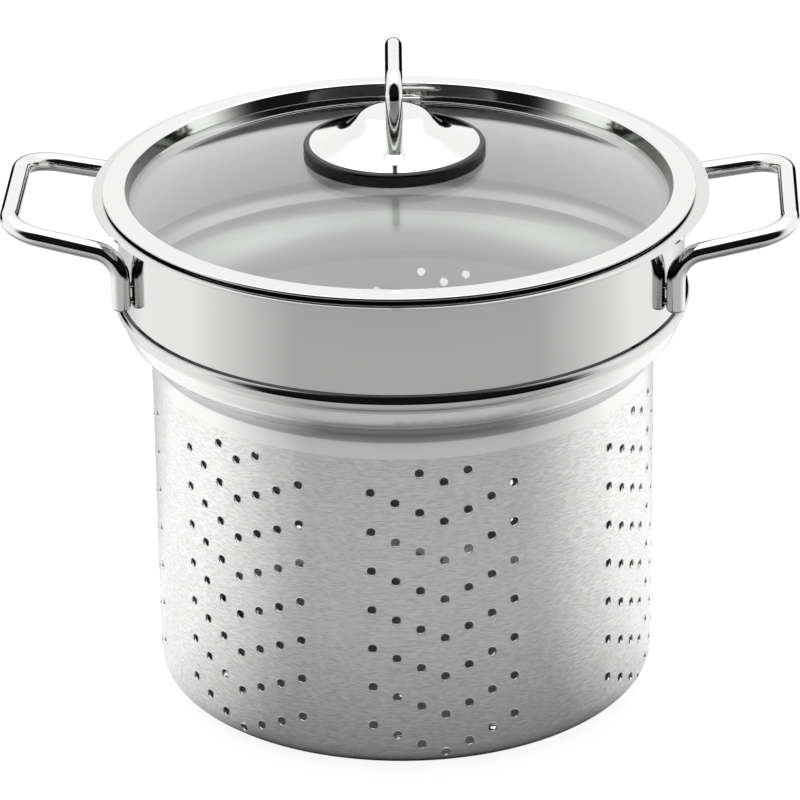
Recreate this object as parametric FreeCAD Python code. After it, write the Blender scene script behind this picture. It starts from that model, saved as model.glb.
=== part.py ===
import FreeCAD, Part
import math
import os

# Strainer basket of a pasta pot, 24 cm size, with its glass lid.
# Lengths are in millimetres and angles in degrees. Z is up from the face that the basket stands on,
# and the two side handles lie along X.

# Basket, drawn from one sheet. From the flange down, its outside is a band, a bead, a seat that
# rests on the pot's edge, a neck, a shoulder and the wall.
BASKET_HEIGHT = 222.0
SHEET = 0.8
FOOT_RADIUS = 107.1
FOOT_CORNER = 10.0
WALL_TAPER = 0.5
SHOULDER_HEIGHT = 9.2
SHOULDER_WIDTH = 11.4
SHOULDER_FOOT_ROUND = 21.5
SHOULDER_TOP_ROUND = 7.5
NECK_HEIGHT = 5.4
SEAT_HEIGHT = 2.2
SEAT_WIDTH = 2.2
BEAD_HEIGHT = 7.2
BEAD_MIDDLE_HEIGHT = 3.4
BEAD_WIDTH = 1.4
BAND_SETBACK = 2.1
BAND_HEIGHT = 42.6
FLANGE_WIDTH = 10.25
FLANGE_ROUND = 2.4

# Perforation of the wall: groups of seven columns, each group a chevron that points down.
# Each hole has the area of a round one, and a few flat sides in its place.
HOLE_DIAMETER = 4.0
HOLE_SIDES = 6
GROUP_ANGLES = (-91.3, -38.5, 10.9, 71.9, 121.8, 172.0, 220.1)
COLUMNS_PER_GROUP = 7
COLUMN_STEP = 5.45
ROW_PITCH = 18.0
ROW_STEPS = 4
LOWEST_HOLE = 7.3
HOLES_TO_SHOULDER = 17.4
DRILL_LENGTH = 16.0

# Drain holes of the base, in rings
BASE_RING_PITCH = 20.0
BASE_EDGE = 10.0

# Side handles, each bent from one rod and welded to the band
HANDLE_ROD = 8.0
WELD_STANDOFF = 0.3
LEG_HALF_SPAN = 45.7
LEG_ABOVE_BEAD = 5.4
LEG_END_ROUND = 1.5
GRIP_STANDOFF = 43.5
GRIP_HALF_SPAN = 41.0
GRIP_DROP = 3.2
GRIP_TILT = 11.5
GRIP_CORNER = 17.0
ELBOW_RADIUS = 12.5
WELD_DIAMETER = 3.0
WELD_HEIGHTS = (3.6, 10.6)

# How the lid lies on the basket: it has side play and can turn
LID_SIDE_SHIFT = 0.7
LID_TURN = 2.2

# Lid rim, rolled from strip: its hem lies on the flange and its channel holds the glass
RIM_SHEET = 0.5
RIM_TO_FLANGE_EDGE = 5.05
RIM_WIDTH = 9.6
RIM_HEIGHT = 2.1
RIM_ROUND = 1.0
HEM_WIDTH = 4.0
CHANNEL_DROP = 3.6
CHANNEL_LIP = 3.4

# Lid glass, a shallow dome
GLASS_COVERED = 1.9
GLASS_THICKNESS = 4.0
DOME_HEIGHT = 17.1
GLASS_EDGE_ROUND = 0.8
GLASS_FIT = 0.1

# Steam vent, a rolled eyelet in the glass
VENT_TO_GLASS_EDGE = 30.5
VENT_TURN = -3.0
VENT_BORE = 4.0
VENT_TUBE_WALL = 0.8
VENT_COLLAR = 11.6
VENT_COLLAR_HEIGHT = 1.8
VENT_FOOT = 9.6
VENT_FOOT_HEIGHT = 0.9
VENT_ROUND_SHARE = 0.45

# Knob: moulded base, pressed plate, welded loop and the parts that hold it from below
KNOB_SIDE_SHIFT = 1.7
KNOB_RADIUS = 38.5
KNOB_BASE_RISE = 3.5
KNOB_BASE_ROUND = 2.4
PLATE_TO_KNOB_EDGE = 2.5
PLATE_SHEET = 1.0
PLATE_RECESS = 0.8
PLATE_FIT = 0.1
SKIRT_RADIUS = 22.0
SKIRT_RISE = 4.6
SKIRT_ROUND = 16.0
HUMP_RADIUS = 13.5
HUMP_RISE = 14.6
HUMP_ROUND = 8.0
LOOP_ROD = 7.2
LOOP_HALF_SPAN = 24.5
LOOP_RISE = 40.5
LOOP_CORNER = 7.0
LOOP_WELD_WIDTH = 1.0
LOOP_WELD_GAP = 0.02
BOSS_DIAMETER = 11.0
BOSS_LIFT = 1.2
BOSS_FIT = 0.3

# Screw that clamps the knob to the glass, with its washer and gasket
SCREW_DIAMETER = 5.0
SCREW_LENGTH = 18.0
SCREW_HEAD_DIAMETER = 9.5
SCREW_HEAD_HEIGHT = 3.2
SCREW_HEAD_ROUND = 1.2
SCREW_FIT = 0.1
SCREW_TIP_ROOM = 1.0
SCREW_SLOT_WIDTH = 1.1
SCREW_SLOT_LENGTH = 5.0
SCREW_SLOT_DEPTH = 1.8
GLASS_HOLE_FIT = 2.2
WASHER_DIAMETER = 16.0
WASHER_THICKNESS = 1.2
GASKET_DIAMETER = 20.0
GASKET_THICKNESS = 1.6

# Most of a run that a bend at one of its ends may take, and how near a face counts as found
BEND_SHARE = 0.499
NEAR = 0.01

ORIGIN = FreeCAD.Vector(0, 0, 0)
SIDEWAYS = FreeCAD.Vector(1, 0, 0)
UP = FreeCAD.Vector(0, 0, 1)

# Sizes and places that follow from those above
BAND_FOOT = BASKET_HEIGHT - BAND_HEIGHT
BEAD_FOOT = BAND_FOOT - BEAD_HEIGHT
NECK_TOP = BEAD_FOOT - SEAT_HEIGHT
SHOULDER_TOP = NECK_TOP - NECK_HEIGHT
SHOULDER_FOOT = SHOULDER_TOP - SHOULDER_HEIGHT
HIGHEST_HOLE = SHOULDER_FOOT - HOLES_TO_SHOULDER
WALL_RADIUS = FOOT_RADIUS + WALL_TAPER
NECK_RADIUS = WALL_RADIUS + SHOULDER_WIDTH
SEAT_RADIUS = NECK_RADIUS + SEAT_WIDTH
BEAD_RADIUS = SEAT_RADIUS + BEAD_WIDTH
BAND_RADIUS = BEAD_RADIUS - BAND_SETBACK
FLANGE_RADIUS = BAND_RADIUS + FLANGE_WIDTH
BASE_RINGS = int((FOOT_RADIUS - FOOT_CORNER - BASE_EDGE) // BASE_RING_PITCH)
GRIP_REACH = BAND_RADIUS + GRIP_STANDOFF
RIM_RADIUS = FLANGE_RADIUS - RIM_TO_FLANGE_EDGE
RIM_INNER_RADIUS = RIM_RADIUS - RIM_WIDTH
GLASS_RADIUS = RIM_INNER_RADIUS + GLASS_COVERED
VENT_DISTANCE = GLASS_RADIUS - VENT_TO_GLASS_EDGE
PLATE_RADIUS = KNOB_RADIUS - PLATE_TO_KNOB_EDGE
HOLE_REACH = HOLE_DIAMETER / 2 * math.sqrt(2 * math.pi / HOLE_SIDES / math.sin(2 * math.pi / HOLE_SIDES))
DOME_TOP = BASKET_HEIGHT + DOME_HEIGHT
GLASS_SEAT = BASKET_HEIGHT - CHANNEL_DROP
DOME_DROP = DOME_TOP - GLASS_SEAT
DOME_RADIUS = (RIM_INNER_RADIUS ** 2 + DOME_DROP ** 2) / (2 * DOME_DROP)
KNOB_BASE_TOP = DOME_TOP + KNOB_BASE_RISE
PLATE_FOOT = KNOB_BASE_TOP - PLATE_RECESS
KNOB_PLACE = FreeCAD.Vector(-KNOB_SIDE_SHIFT, 0, 0)


def point(radius, height):
    """A point of an outline, at a distance from the axis and a height."""
    return FreeCAD.Vector(radius, 0, height)


def rounded(points, radii):
    """Lines through the points, with a tangent arc of the given radius at each inner point."""
    edges = []
    start = points[0]
    for before, corner, after, radius in zip(points, points[1:], points[2:], radii):
        to_before = (before - corner).normalize()
        to_after = (after - corner).normalize()
        half_angle = to_before.getAngle(to_after) / 2
        room = BEND_SHARE * min((before - corner).Length, (after - corner).Length)
        reach = min(radius / math.tan(half_angle), room)
        if reach <= 0:
            edges.append(Part.makeLine(start, corner))
            start = corner
            continue
        arc_radius = reach * math.tan(half_angle)
        bisector = (to_before + to_after).normalize()
        middle = corner + bisector * (arc_radius / math.sin(half_angle) - arc_radius)
        arc_start = corner + to_before * reach
        arc_end = corner + to_after * reach
        edges.append(Part.makeLine(start, arc_start))
        edges.append(Part.Arc(arc_start, middle, arc_end).toShape())
        start = arc_end
    edges.append(Part.makeLine(start, points[-1]))
    return edges


def turned(points, radii):
    """A solid turned about the axis from a closed outline with rounded corners."""
    edges = rounded(list(points) + [points[0]], list(radii))
    return Part.Face(Part.Wire(edges)).revolve(ORIGIN, UP, 360)


def rolled(edges, thickness):
    """A sheet turned about the axis: the edges are one side of its section."""
    section = Part.Wire(edges).makeOffset2D(thickness, 0, True, True, False)
    return section.revolve(ORIGIN, UP, 360)


def tube(inner_radius, outer_radius, foot, height):
    """A ring with a plain rectangular section."""
    outer = Part.makeCylinder(outer_radius, height, point(0, foot))
    inner = Part.makeCylinder(inner_radius, height, point(0, foot))
    return outer.cut(inner)


def rod(points, radii, diameter):
    """A round rod along straight runs joined by tangent bends."""
    path = Part.Wire(rounded(points, radii))
    section = Part.makeCircle(diameter / 2, points[0], points[1] - points[0])
    return path.makePipeShell([Part.Wire(section)], True, True)


def dome_height(radius, depth=0.0):
    """Height of the glass dome at a distance from its axis, at a depth under its upper face."""
    return DOME_TOP - DOME_RADIUS + math.sqrt((DOME_RADIUS - depth) ** 2 - radius ** 2)


def dome_ball(depth):
    """The ball whose upper face is the glass dome, at a depth under its upper face."""
    return Part.makeSphere(DOME_RADIUS - depth, point(0, DOME_TOP - DOME_RADIUS))


def basket_section():
    """The outer side of the basket's sheet, from the middle of the base to the edge of the flange."""
    flange_foot = BASKET_HEIGHT - SHEET
    shell = [
        point(0, 0),
        point(FOOT_RADIUS, 0),
        point(WALL_RADIUS, SHOULDER_FOOT),
        point(NECK_RADIUS, SHOULDER_TOP),
        point(NECK_RADIUS, NECK_TOP),
    ]
    shell_rounds = [FOOT_CORNER, SHOULDER_FOOT_ROUND, SHOULDER_TOP_ROUND]
    seat = point(SEAT_RADIUS, BEAD_FOOT)
    band_foot = point(BAND_RADIUS, BAND_FOOT)
    rim = [band_foot, point(BAND_RADIUS, flange_foot), point(FLANGE_RADIUS, flange_foot)]
    edges = rounded(shell, shell_rounds)
    edges.append(Part.makeLine(shell[-1], seat))
    bead_middle = point(BEAD_RADIUS, BEAD_FOOT + BEAD_MIDDLE_HEIGHT)
    edges.append(Part.Arc(seat, bead_middle, band_foot).toShape())
    return edges + rounded(rim, [FLANGE_ROUND])


def drill(start, along, level, length):
    """A drill for one hole, with a corner towards the level direction."""
    across = along.cross(level)
    turns = [2 * math.pi * side / HOLE_SIDES for side in range(HOLE_SIDES)]
    corners = [start + (level * math.cos(turn) + across * math.sin(turn)) * HOLE_REACH for turn in turns]
    return Part.Face(Part.makePolygon(corners + corners[:1])).extrude(along * length)


def wall_holes():
    """Drills, one for each hole of the wall, pointing out from the axis."""
    drills = []
    middle = COLUMNS_PER_GROUP // 2
    for group_angle in GROUP_ANGLES:
        for column in range(-middle, middle + 1):
            angle = math.radians(group_angle + column * COLUMN_STEP)
            outward = FreeCAD.Vector(math.sin(angle), -math.cos(angle), 0)
            height = LOWEST_HOLE + abs(column) * ROW_PITCH / ROW_STEPS
            while height <= HIGHEST_HOLE:
                start = outward * (FOOT_RADIUS - DRILL_LENGTH / 2) + UP * height
                drills.append(drill(start, outward, UP.cross(outward), DRILL_LENGTH))
                height += ROW_PITCH
    return drills


def base_holes():
    """Drills for the drain holes: one in the middle, then rings of six, twelve and so on."""
    drills = []
    for ring in range(BASE_RINGS + 1):
        count = max(6 * ring, 1)
        for index in range(count):
            angle = 2 * math.pi * index / count
            outward = FreeCAD.Vector(math.cos(angle), math.sin(angle), 0)
            start = outward * (ring * BASE_RING_PITCH) - UP * SHEET
            drills.append(drill(start, UP, SIDEWAYS, 3 * SHEET))
    return drills


def strainer_basket():
    """The drawn and punched basket."""
    shell = rolled(basket_section(), SHEET)
    return shell.cut(wall_holes() + base_holes())


def side_handle(side):
    """One side handle: a bent rod with weld spots, at +X for side 1 and at -X for side -1."""
    leg_radius = BAND_RADIUS + WELD_STANDOFF + HANDLE_ROD / 2
    leg_x = math.sqrt(leg_radius ** 2 - LEG_HALF_SPAN ** 2)
    leg_foot = BAND_FOOT + LEG_ABOVE_BEAD
    grip_height = BASKET_HEIGHT - GRIP_DROP
    elbow_height = grip_height - (GRIP_REACH - leg_x) * math.tan(math.radians(GRIP_TILT))
    half = [
        FreeCAD.Vector(leg_x, -LEG_HALF_SPAN, leg_foot),
        FreeCAD.Vector(leg_x, -LEG_HALF_SPAN, elbow_height),
        FreeCAD.Vector(GRIP_REACH, -GRIP_HALF_SPAN, grip_height),
    ]
    other_half = [FreeCAD.Vector(spot.x, -spot.y, spot.z) for spot in reversed(half)]
    bends = [ELBOW_RADIUS, GRIP_CORNER, GRIP_CORNER, ELBOW_RADIUS]
    handle = rod(half + other_half, bends, HANDLE_ROD)
    ends = [edge for edge in handle.Edges if abs(edge.BoundBox.ZMax - leg_foot) < NEAR]
    handle = handle.makeFillet(LEG_END_ROUND, ends)
    handle = handle.fuse(weld_spots(leg_x, leg_foot))
    if side < 0:
        handle.rotate(ORIGIN, UP, 180)
    return handle


def weld_spots(leg_x, leg_foot):
    """The spots that join the two legs of a handle to the band."""
    band = Part.makeCylinder(BAND_RADIUS, BASKET_HEIGHT)
    spots = []
    for leg_y in (-LEG_HALF_SPAN, LEG_HALF_SPAN):
        for height in WELD_HEIGHTS:
            outward = FreeCAD.Vector(leg_x, leg_y, 0)
            middle = outward + UP * (leg_foot + height)
            spot = Part.makeCylinder(WELD_DIAMETER / 2, HANDLE_ROD, middle, outward * -1)
            spots.append(spot.cut(band))
    return spots


def lid_rim():
    """The rolled rim of the lid, which lies on the flange and holds the edge of the glass."""
    channel_radius = GLASS_RADIUS + GLASS_FIT
    top = BASKET_HEIGHT + RIM_HEIGHT
    lip_radius = GLASS_RADIUS - CHANNEL_LIP
    below_glass = GLASS_THICKNESS + GLASS_FIT
    section = [
        point(RIM_RADIUS - HEM_WIDTH, BASKET_HEIGHT),
        point(RIM_RADIUS, BASKET_HEIGHT),
        point(RIM_RADIUS, top),
        point(RIM_INNER_RADIUS, top),
        point(RIM_INNER_RADIUS, dome_height(RIM_INNER_RADIUS) + GLASS_FIT),
        point(channel_radius, dome_height(channel_radius) + GLASS_FIT),
        point(channel_radius, dome_height(channel_radius, below_glass)),
        point(lip_radius, dome_height(lip_radius, below_glass)),
    ]
    rounds = [RIM_ROUND, RIM_ROUND, RIM_ROUND, 0, 0, 0]
    return rolled(rounded(section, rounds), RIM_SHEET)


def lid_glass():
    """The domed glass with its holes for the knob's screw and for the vent."""
    disc = Part.makeCylinder(GLASS_RADIUS, 3 * DOME_HEIGHT, point(0, DOME_TOP - 2 * DOME_HEIGHT))
    glass = disc.common(dome_ball(0)).cut(dome_ball(GLASS_THICKNESS))
    glass = glass.makeFillet(GLASS_EDGE_ROUND, rim_edges(glass, GLASS_RADIUS))
    screw_hole = Part.makeCylinder(SCREW_DIAMETER / 2 + GLASS_HOLE_FIT, DOME_TOP, KNOB_PLACE)
    vent_hole = Part.makeCylinder(vent_tube_radius() + GLASS_FIT, 4 * GLASS_THICKNESS)
    vent_hole.translate(UP * (-2 * GLASS_THICKNESS))
    return glass.cut([screw_hole, at_vent(vent_hole)])


def rim_edges(solid, radius):
    """The level round edges of a solid that lie at a distance from the axis."""
    boxes = [(edge, edge.BoundBox) for edge in solid.Edges]
    return [edge for edge, box in boxes
            if box.ZLength < NEAR and abs(box.XMax - radius) < NEAR and abs(box.YMax - radius) < NEAR]


def vent_tube_radius():
    """Outer radius of the eyelet's tube."""
    return VENT_BORE / 2 + VENT_TUBE_WALL


def at_vent(shape):
    """Moves a shape from the origin to the vent, square to the glass."""
    lean = math.degrees(math.asin(VENT_DISTANCE / DOME_RADIUS))
    shape.translate(UP * DOME_RADIUS)
    shape.rotate(ORIGIN, FreeCAD.Vector(1, 0, 0), -lean)
    shape.rotate(ORIGIN, UP, VENT_TURN)
    shape.translate(UP * (DOME_TOP - DOME_RADIUS))
    return shape


def vent_eyelet():
    """The steam vent: a tube through the glass with a rolled collar above and a foot below."""
    bore = VENT_BORE / 2
    collar_round = VENT_ROUND_SHARE * VENT_COLLAR_HEIGHT
    foot_round = VENT_ROUND_SHARE * VENT_FOOT_HEIGHT
    foot_top = -GLASS_THICKNESS - GLASS_FIT
    section = [
        point(bore, VENT_COLLAR_HEIGHT),
        point(VENT_COLLAR / 2, VENT_COLLAR_HEIGHT),
        point(VENT_COLLAR / 2, GLASS_FIT),
        point(vent_tube_radius(), GLASS_FIT),
        point(vent_tube_radius(), foot_top),
        point(VENT_FOOT / 2, foot_top),
        point(VENT_FOOT / 2, foot_top - VENT_FOOT_HEIGHT),
        point(bore, foot_top - VENT_FOOT_HEIGHT),
    ]
    rounds = [collar_round, collar_round, 0, 0, 0, foot_round, 0]
    return at_vent(turned(section, rounds))


def knob_base():
    """The moulded base of the knob: it follows the glass and has a recess for the plate."""
    inner = BOSS_DIAMETER / 2 + BOSS_FIT
    recess_radius = PLATE_RADIUS + PLATE_FIT
    section = [
        point(inner, DOME_TOP - DOME_HEIGHT),
        point(inner, PLATE_FOOT),
        point(recess_radius, PLATE_FOOT),
        point(recess_radius, KNOB_BASE_TOP),
        point(KNOB_RADIUS, KNOB_BASE_TOP),
        point(KNOB_RADIUS, DOME_TOP - DOME_HEIGHT),
    ]
    base = turned(section, [0, 0, 0, KNOB_BASE_ROUND, 0])
    base.translate(KNOB_PLACE)
    return base.cut(dome_ball(-GLASS_FIT / 2))


def plate_outline():
    """The upper side of the knob's plate, from its edge to its crown, and the rounds between."""
    outline = [
        point(PLATE_RADIUS, PLATE_FOOT + PLATE_SHEET),
        point(SKIRT_RADIUS, PLATE_FOOT + PLATE_SHEET + SKIRT_RISE),
        point(HUMP_RADIUS, PLATE_FOOT + HUMP_RISE),
        point(0, PLATE_FOOT + HUMP_RISE),
    ]
    return outline, [SKIRT_ROUND, HUMP_ROUND]


def knob_plate():
    """The pressed plate, a shallow skirt that rises to a hump."""
    outline, rounds = plate_outline()
    return rolled(rounded(outline, rounds), PLATE_SHEET).translated(KNOB_PLACE)


def plate_core(lift):
    """The space under the plate's upper side, lifted a little, as a solid."""
    outline, rounds = plate_outline()
    edges = rounded(outline, rounds)
    edges.append(Part.makeLine(outline[-1], point(0, DOME_TOP)))
    edges.append(Part.makeLine(point(0, DOME_TOP), point(PLATE_RADIUS, DOME_TOP)))
    edges.append(Part.makeLine(point(PLATE_RADIUS, DOME_TOP), outline[0]))
    core = Part.Face(Part.Wire(edges)).revolve(ORIGIN, UP, 360)
    return core.translated(UP * lift)


def knob_loop():
    """The bent rod that a hand lifts the lid by, welded to the skirt of the plate."""
    top = PLATE_FOOT + LOOP_RISE - LOOP_ROD / 2
    corners = [
        FreeCAD.Vector(0, -LOOP_HALF_SPAN, PLATE_FOOT),
        FreeCAD.Vector(0, -LOOP_HALF_SPAN, top),
        FreeCAD.Vector(0, LOOP_HALF_SPAN, top),
        FreeCAD.Vector(0, LOOP_HALF_SPAN, PLATE_FOOT),
    ]
    loop = rod(corners, [LOOP_CORNER, LOOP_CORNER], LOOP_ROD)
    loop = loop.fuse([loop_weld(corners[0]), loop_weld(corners[-1])])
    return loop.cut(plate_core(LOOP_WELD_GAP)).translated(KNOB_PLACE)


def loop_weld(foot):
    """The bead of weld round a foot of the loop, wider towards the plate."""
    slope = SKIRT_RISE / (PLATE_RADIUS - SKIRT_RADIUS)
    rise = PLATE_SHEET + slope * (PLATE_RADIUS - LOOP_HALF_SPAN) + LOOP_WELD_WIDTH
    return Part.makeCone(LOOP_ROD / 2 + rise, LOOP_ROD / 2, rise, foot)


def knob_boss():
    """The threaded boss that is welded inside the hump of the plate."""
    foot = DOME_TOP + BOSS_LIFT
    top = PLATE_FOOT + HUMP_RISE - PLATE_SHEET
    boss = Part.makeCylinder(BOSS_DIAMETER / 2, top - foot, point(0, foot))
    boss = boss.common(plate_core(-PLATE_SHEET - LOOP_WELD_GAP))
    bore = Part.makeCylinder(SCREW_DIAMETER / 2 + SCREW_FIT, bore_depth(), point(0, foot))
    return boss.cut(bore).translated(KNOB_PLACE)


def clamp_top():
    """Height of the gasket's upper face, where its edge meets the under side of the glass."""
    reach = GASKET_DIAMETER / 2 + KNOB_SIDE_SHIFT
    return dome_height(reach, GLASS_THICKNESS + GLASS_FIT / 2)


def head_top():
    """Height of the screw head's upper face."""
    return clamp_top() - GASKET_THICKNESS - WASHER_THICKNESS


def bore_depth():
    """Depth of the boss's bore: the screw's tip plus a little room."""
    return head_top() + SCREW_LENGTH + SCREW_TIP_ROOM - (DOME_TOP + BOSS_LIFT)


def screw_gasket():
    """The soft ring between the washer and the glass."""
    hole = SCREW_DIAMETER / 2 + SCREW_FIT
    foot = clamp_top() - GASKET_THICKNESS
    return tube(hole, GASKET_DIAMETER / 2, foot, GASKET_THICKNESS).translated(KNOB_PLACE)


def screw_washer():
    """The steel washer under the gasket."""
    hole = SCREW_DIAMETER / 2 + SCREW_FIT
    foot = clamp_top() - GASKET_THICKNESS - WASHER_THICKNESS
    return tube(hole, WASHER_DIAMETER / 2, foot, WASHER_THICKNESS).translated(KNOB_PLACE)


def knob_screw():
    """The screw that pulls the knob down onto the glass, with a crossed recess in its head."""
    head_foot = head_top() - SCREW_HEAD_HEIGHT
    head = Part.makeCylinder(SCREW_HEAD_DIAMETER / 2, SCREW_HEAD_HEIGHT, point(0, head_foot))
    lower_edges = [edge for edge in head.Edges if abs(edge.BoundBox.ZMax - head_foot) < NEAR]
    head = head.makeFillet(SCREW_HEAD_ROUND, lower_edges)
    shank = Part.makeCylinder(SCREW_DIAMETER / 2, SCREW_LENGTH, point(0, head_top()))
    screw = head.fuse(shank).removeSplitter()
    for length, width in ((SCREW_SLOT_LENGTH, SCREW_SLOT_WIDTH), (SCREW_SLOT_WIDTH, SCREW_SLOT_LENGTH)):
        corner = FreeCAD.Vector(-length / 2, -width / 2, head_foot - SCREW_SLOT_DEPTH)
        screw = screw.cut(Part.makeBox(length, width, 2 * SCREW_SLOT_DEPTH, corner))
    return screw.translated(KNOB_PLACE)


def on_basket(shape):
    """Lays a piece of the lid, made about its own axis, where the lid rests on the basket."""
    placed = shape.rotated(ORIGIN, UP, LID_TURN)
    return placed.translated(FreeCAD.Vector(-LID_SIDE_SHIFT, 0, 0))


def main():
    """Builds every piece and writes one file for each."""
    os.makedirs("parts", exist_ok=True)
    lid_pieces = (lid_rim, lid_glass, vent_eyelet, knob_base, knob_plate, knob_loop, knob_boss,
                  knob_screw, screw_washer, screw_gasket)
    pieces = {make.__name__: on_basket(make()) for make in lid_pieces}
    pieces["strainer_basket"] = strainer_basket()
    pieces["side_handle_left"] = side_handle(-1)
    pieces["side_handle_right"] = side_handle(1)
    for name, shape in pieces.items():
        solids = shape.Solids
        print(name, len(solids), shape.isValid(), round(shape.Volume, 1), shape.BoundBox)
        Part.makeCompound(solids).exportStep("parts/" + name + ".step")


main()
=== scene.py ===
import logging
import math
from dataclasses import dataclass
from enum import Enum

import bpy
from mathutils import Matrix, Vector


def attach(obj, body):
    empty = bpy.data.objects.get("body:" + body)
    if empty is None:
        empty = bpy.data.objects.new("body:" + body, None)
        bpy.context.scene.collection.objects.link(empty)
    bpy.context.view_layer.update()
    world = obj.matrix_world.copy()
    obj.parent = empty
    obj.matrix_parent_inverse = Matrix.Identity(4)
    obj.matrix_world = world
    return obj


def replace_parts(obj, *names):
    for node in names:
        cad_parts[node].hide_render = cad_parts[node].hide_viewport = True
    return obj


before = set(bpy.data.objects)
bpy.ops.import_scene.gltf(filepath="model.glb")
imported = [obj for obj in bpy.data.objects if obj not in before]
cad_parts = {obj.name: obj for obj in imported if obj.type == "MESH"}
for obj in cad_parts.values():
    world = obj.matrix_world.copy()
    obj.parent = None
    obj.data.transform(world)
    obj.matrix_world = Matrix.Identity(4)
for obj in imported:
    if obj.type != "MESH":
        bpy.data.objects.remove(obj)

LOG = logging.getLogger("pasta_pot")
MM = 0.001
WHITE = "ffffff"
# What an input of a node takes: a number, or the output that feeds it
Feed = float | bpy.types.NodeSocket


class Slot(Enum):
    """Names of two finishes: basket steel and polished strip."""

    BASKET_STEEL = "basket_steel"
    POLISHED_STRIP = "polished_strip"


def linear(hex_colour: str) -> tuple[float, float, float, float]:
    """Turns an sRGB colour into the linear one that shaders take.

    Args:
        hex_colour: six hexadecimal digits, such as "c8c8c6".

    Returns:
        Red, green, blue and an alpha of 1.
    """
    shares = [int(hex_colour[start:start + 2], 16) / 255 for start in (0, 2, 4)]
    red, green, blue = [s / 12.92 if s <= 0.04045 else ((s + 0.055) / 1.055) ** 2.4 for s in shares]
    return red, green, blue, 1.0


def add(tree: bpy.types.NodeTree, kind: str, values: dict | None = None, **settings) -> bpy.types.Node:
    """Adds a node with its settings and links.

    Args:
        tree: the tree that gets the node.
        kind: Blender's name for the kind of node.
        values: for an input's name or number, a value or the output that feeds it.
        **settings: the node's own settings.

    Returns:
        The node.
    """
    node = tree.nodes.new(kind)
    for name, value in settings.items():
        setattr(node, name, value)
    for key, value in (values or {}).items():
        if isinstance(value, bpy.types.NodeSocket):
            tree.links.new(value, node.inputs[key])
        else:
            node.inputs[key].default_value = value
    return node


def math_node(tree: bpy.types.NodeTree, operation: str, *values: Feed) -> bpy.types.NodeSocket:
    """The result of one sum on numbers or outputs."""
    return add(tree, "ShaderNodeMath", dict(enumerate(values)), operation=operation).outputs[0]


def ramp(
    tree: bpy.types.NodeTree,
    value: bpy.types.NodeSocket,
    start: Feed,
    end: Feed,
    low: Feed,
    high: Feed,
) -> bpy.types.NodeSocket:
    """A smooth step of a value.

    Args:
        tree: the tree that gets the node.
        value: the output that is read.
        start: the reading at which the step begins.
        end: the reading at which it ends.
        low: the result before the step.
        high: the result after it.

    Returns:
        The step's output.
    """
    values = {"Value": value, "From Min": start, "From Max": end, "To Min": low, "To Max": high}
    return add(tree, "ShaderNodeMapRange", values, interpolation_type="SMOOTHSTEP").outputs[0]


@dataclass(frozen=True)
class Grain:
    """Marks that run round the axis of a turned, spun or brushed piece.

    Length, width and centre_x are in millimetres. Detail is how many finer layers the marks have,
    and fineness is how strong each layer is against the one before.
    """

    length: float
    width: float
    centre_x: float = 0.0
    detail: float = 3.0
    fineness: float = 0.6

    def output(self, tree: bpy.types.NodeTree) -> bpy.types.NodeSocket:
        """A value between 0 and 1 that changes slowly along the marks and fast across them."""
        place = add(tree, "ShaderNodeTexCoord").outputs["Object"]
        moved = add(tree, "ShaderNodeMapping", {"Vector": place, "Location": (-self.centre_x * MM, 0, 0)})
        parts = add(tree, "ShaderNodeSeparateXYZ", {0: moved.outputs[0]}).outputs
        level = add(tree, "ShaderNodeCombineXYZ", {0: parts[0], 1: parts[1]}).outputs[0]
        radius = add(tree, "ShaderNodeVectorMath", {0: level}, operation="LENGTH").outputs["Value"]
        across = math_node(tree, "ADD", radius, parts[2])
        scaled = {
            0: math_node(tree, "MULTIPLY", parts[0], 1 / (self.length * MM)),
            1: math_node(tree, "MULTIPLY", parts[1], 1 / (self.length * MM)),
            2: math_node(tree, "MULTIPLY", across, 1 / (self.width * MM)),
        }
        vector = add(tree, "ShaderNodeCombineXYZ", scaled).outputs[0]
        noise = {"Vector": vector, "Scale": 1.0, "Detail": self.detail, "Roughness": self.fineness}
        return add(tree, "ShaderNodeTexNoise", noise).outputs[0]


def new_material(name: str) -> tuple[bpy.types.Material, bpy.types.NodeTree, bpy.types.Node]:
    """An empty material, its tree and its output node."""
    material = bpy.data.materials.new(name)
    material.use_nodes = True
    tree = material.node_tree
    tree.nodes.clear()
    return material, tree, add(tree, "ShaderNodeOutputMaterial")


def upward(tree: bpy.types.NodeTree) -> bpy.types.NodeSocket:
    """How far a surface faces up: 1 straight up, 0 on an upright wall and -1 straight down."""
    normal = add(tree, "ShaderNodeNewGeometry").outputs["True Normal"]
    return add(tree, "ShaderNodeSeparateXYZ", {0: normal}).outputs[2]


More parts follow.
